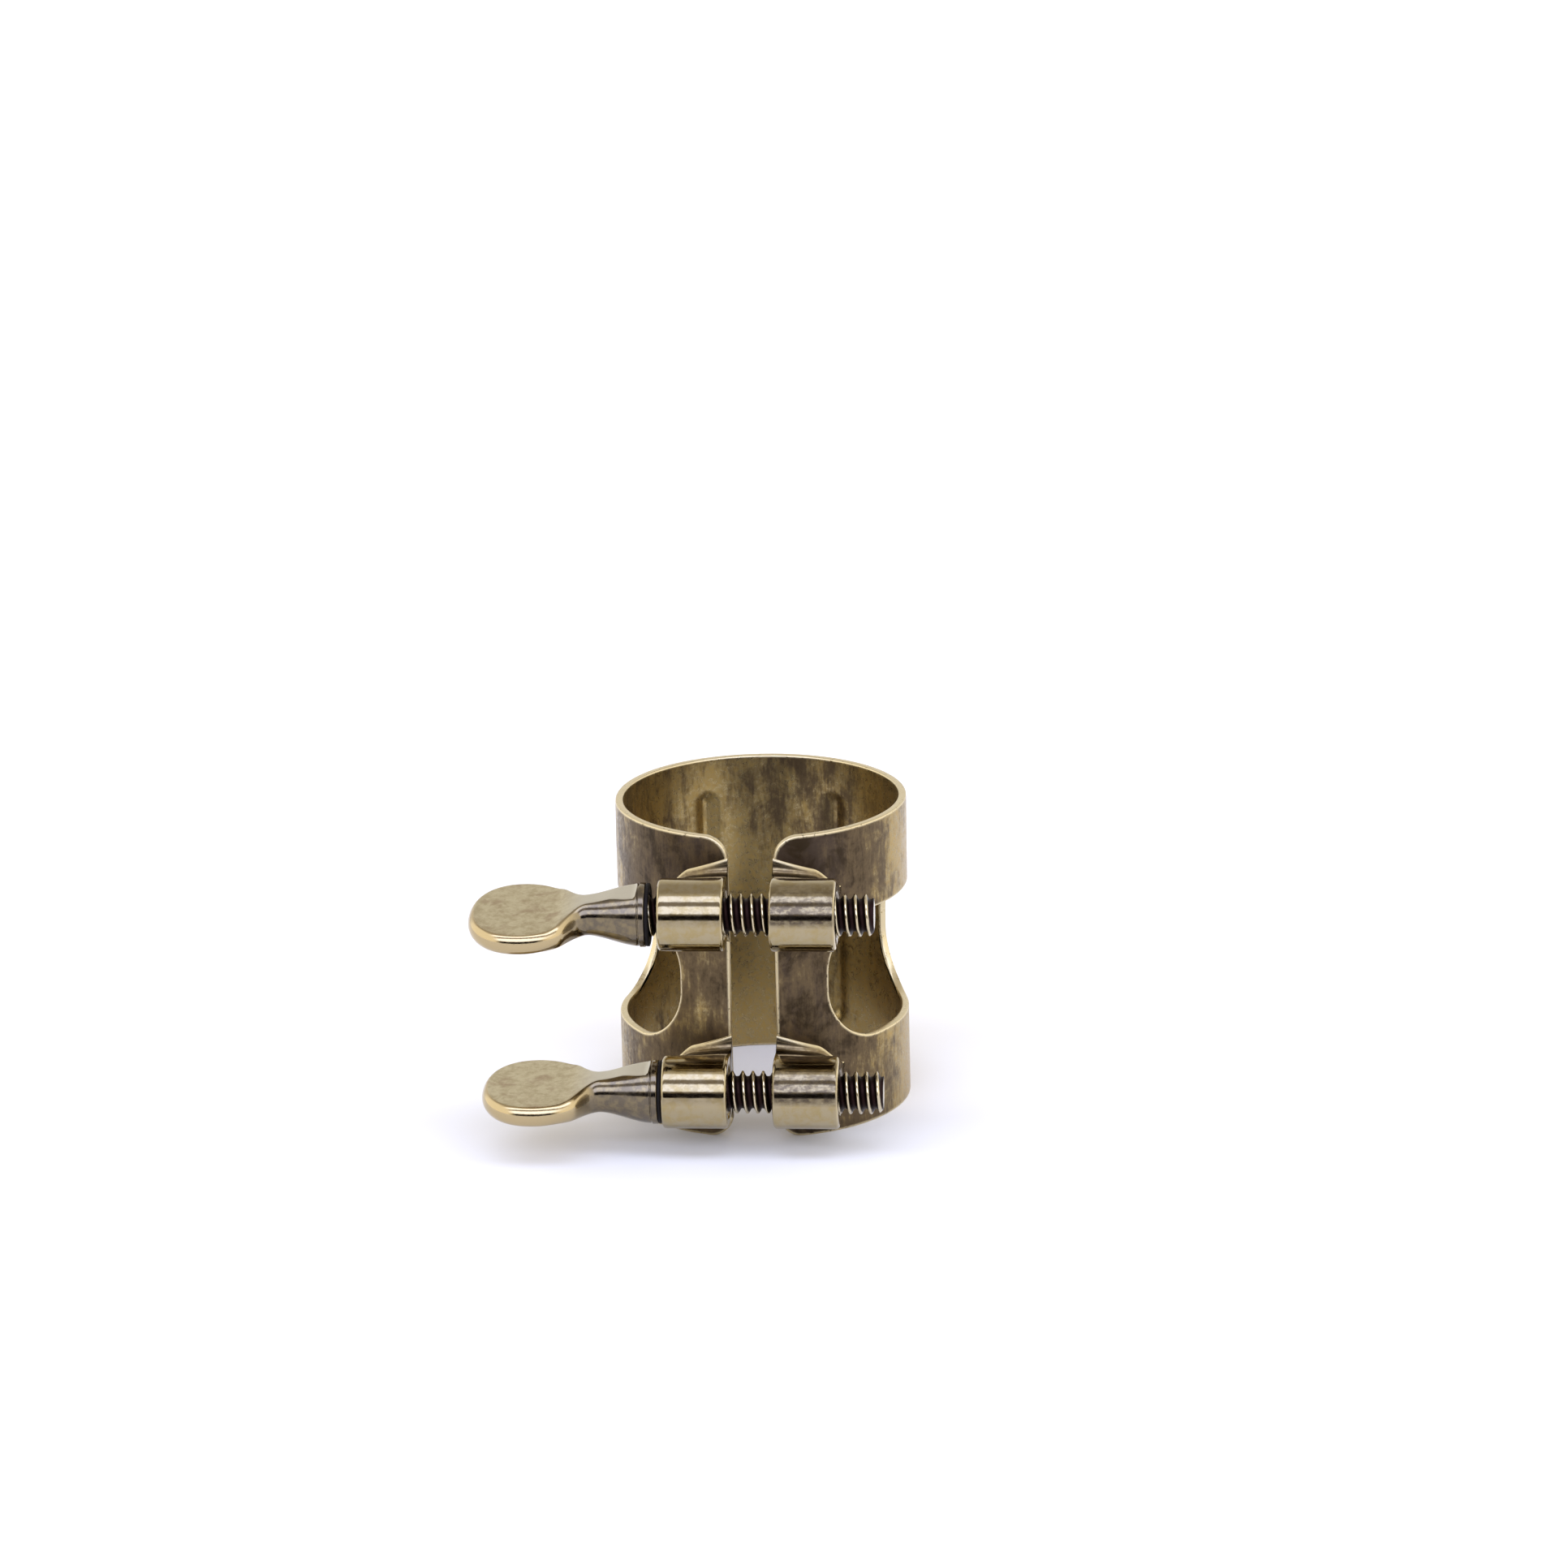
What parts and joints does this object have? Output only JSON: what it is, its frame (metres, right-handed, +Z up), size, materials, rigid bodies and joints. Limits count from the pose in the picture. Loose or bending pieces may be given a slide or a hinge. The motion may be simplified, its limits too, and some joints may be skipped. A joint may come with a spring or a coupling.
{
  "type": "saxophone ligature",
  "caption": "Split metal band with side windows and paired thumbscrews that clamps a reed onto a slim tenor saxophone mouthpiece.",
  "frame": {"origin": "on the axis of the band's bore, at the band's lower edge", "axes": "+Z up along the bore; the gap and the screws are on the -Y side with the screws along X and their paddles at -X; the reed lies at +Y"},
  "size_m": [0.0297, 0.0282, 0.0221],
  "materials": {
    "band_brass": "worn gold-lacquered brass sheet, tarnished brown near the gap, bright cut edges",
    "post_brass": "polished pale gold plate, lightly worn",
    "rod_brass": "turned thread, dark in the roots and bright on the crests",
    "thumb_brass": "forged and polished pale gold plate, satin on the paddle's faces",
    "washer_black": "thin black fibre"
  },
  "bodies": {
    "band_and_left_posts": {"band": "band_brass", "upper_left_post": "post_brass", "lower_left_post": "post_brass"},
    "right_posts": {"upper_right_post": "post_brass", "lower_right_post": "post_brass"},
    "upper_washer": {"upper_washer": "washer_black"},
    "upper_screw": {"upper_threaded_rod": "rod_brass", "upper_thumb_piece": "thumb_brass"},
    "lower_washer": {"lower_washer": "washer_black"},
    "lower_screw": {"lower_threaded_rod": "rod_brass", "lower_thumb_piece": "thumb_brass"}
  },
  "joints": [
    {"name": "gap_closing", "type": "hinge", "parent": "band_and_left_posts", "child": "right_posts", "pos_m": [0, 0.01002, 0.01105], "axis": [0, 0, -1], "range_deg": [0, 2], "stiffness_Nm_per_rad": 1.5, "deforming": ["band"]},
    {"name": "upper_screw_travel", "type": "slide", "parent": "right_posts", "child": "upper_washer", "axis": [1, 0, 0], "range_m": [-0.0072, 0.00057]},
    {"name": "upper_screw_turn", "type": "hinge", "parent": "upper_washer", "child": "upper_screw", "pos_m": [0, -0.0135, 0.01755], "axis": [1, 0, 0], "range_deg": [-3600, 285]},
    {"name": "lower_screw_travel", "type": "slide", "parent": "right_posts", "child": "lower_washer", "axis": [1, 0, 0], "range_m": [-0.0072, 0]},
    {"name": "lower_screw_turn", "type": "hinge", "parent": "lower_washer", "child": "lower_screw", "pos_m": [0, -0.0135, 0.00455], "axis": [1, 0, 0], "range_deg": [-3600, 0]}
  ],
  "couplings": [
    {"joint": "upper_screw_turn", "follows": "upper_screw_travel", "rad_per_m": 8726.6},
    {"joint": "lower_screw_turn", "follows": "lower_screw_travel", "rad_per_m": 8726.6}
  ]
}
